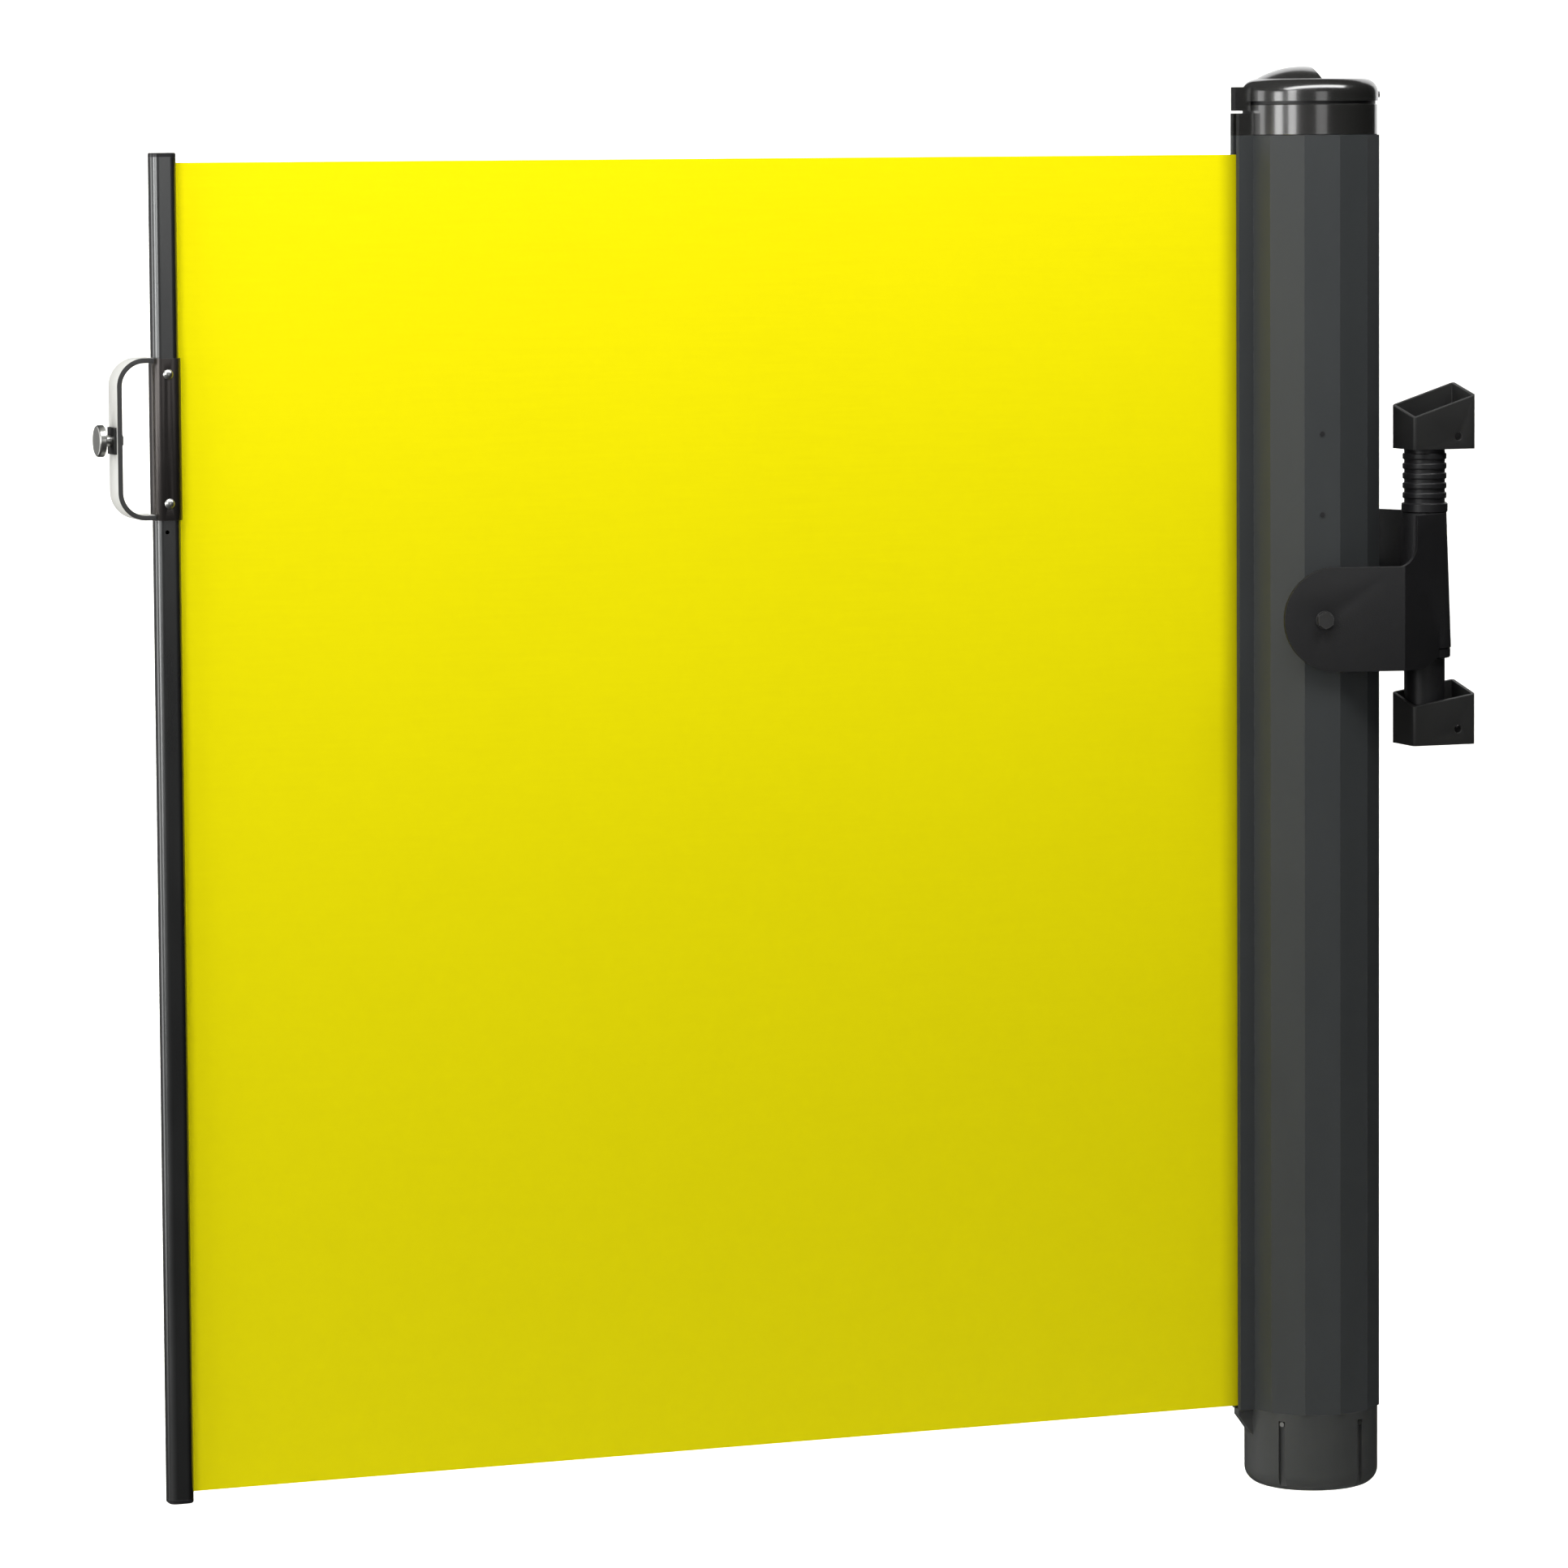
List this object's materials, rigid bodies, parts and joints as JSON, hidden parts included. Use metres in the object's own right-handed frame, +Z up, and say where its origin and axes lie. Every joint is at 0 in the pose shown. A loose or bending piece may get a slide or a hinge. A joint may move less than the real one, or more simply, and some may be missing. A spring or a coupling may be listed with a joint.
{
  "type": "retractable welding curtain screen",
  "caption": "Retractable welding curtain screen: spring roller in an upright wall-hung cassette on a swivel yoke, with a pull bar, grab handle and latch knob.",
  "frame": {"origin": "centre of the four wall-screw holes, on the wall face of the two bracket boxes", "axes": "+X into the wall, +Z up along the cassette, the curtain pulls out along -X"},
  "size_m": [1.7905, 0.235, 1.816],
  "materials": {
    "anthracite_coat": "satin powder coat, anthracite",
    "gloss_black": "polished moulding",
    "cast_black": "matt cast coat",
    "bracket_black": "satin coat",
    "moulded_black": "matt moulding",
    "zinc": "bright zinc",
    "steel": "bare steel",
    "handle_grey": "satin coat",
    "bar_coat": "satin powder coat, dark grey",
    "curtain_yellow": "smooth coated sheet",
    "spring_steel": "oiled",
    "bush_plastic": "natural",
    "aluminium": "mill finish"
  },
  "bodies": {
    "wall_brackets": {"upper_wall_box": "bracket_black", "lower_wall_box": "bracket_black", "pivot_rod": "steel", "pivot_washer": "zinc", "pivot_nut": "zinc", "ribbed_sleeve": "moulded_black", "plain_sleeve": "moulded_black", "upper_thrust_ring": "moulded_black", "lower_thrust_ring": "moulded_black"},
    "yoke": {"swivel_yoke": "cast_black", "hub_bushes": "bush_plastic"},
    "cassette": {"housing_profile": "anthracite_coat", "slot_glides": "moulded_black", "top_collar": "gloss_black", "lid_gasket": "moulded_black", "top_lid": "gloss_black", "lid_screws": "bracket_black", "bottom_cap": "moulded_black", "cap_screws": "zinc", "facet_rivets": "bracket_black", "backing_plates": "steel", "tilt_spacers": "moulded_black", "ear_bolts": "bracket_black", "ear_washers": "bracket_black", "spring_shaft": "steel", "shaft_bushes": "bush_plastic", "shaft_lock": "steel", "spring_anchor": "steel", "curtain_lead": "curtain_yellow"},
    "roller": {"roller_tube": "aluminium", "curtain_roll": "curtain_yellow", "roller_plugs": "moulded_black", "roller_bearings": "bush_plastic", "spring_hub": "moulded_black", "torsion_spring": "spring_steel"},
    "pull_bar_set": {"pull_bar": "bar_coat", "bar_end_caps": "moulded_black", "keder_rod": "moulded_black", "curtain": "curtain_yellow", "handle_sleeve": "bar_coat", "handle_strip": "handle_grey", "handle_screws": "zinc", "knob_plate": "bracket_black", "latch_knob": "zinc", "knob_nut": "zinc"}
  },
  "joints": [
    {"name": "yoke_swivel", "type": "hinge", "parent": "wall_brackets", "child": "yoke", "pos_m": [-0.057, 0, 0], "axis": [0, 0, 1], "range_deg": [-45, 75]},
    {"name": "cassette_tilt", "type": "hinge", "parent": "yoke", "child": "cassette", "pos_m": [-0.19996, 0.03831, -0.044], "axis": [0.2588, 0.9659, 0], "range_deg": [-3, 3]},
    {"name": "curtain_pull", "type": "slide", "parent": "cassette", "child": "pull_bar_set", "axis": [1, 0, 0], "range_m": [0, 1.365], "deforming": ["curtain"]},
    {"name": "roller_spin", "type": "hinge", "parent": "cassette", "child": "roller", "pos_m": [-0.19996, 0.01431, 0], "axis": [0, 0, 1], "range_deg": [-2080, 0]}
  ],
  "couplings": [
    {"joint": "roller_spin", "follows": "curtain_pull", "rad_per_m": -26}
  ]
}
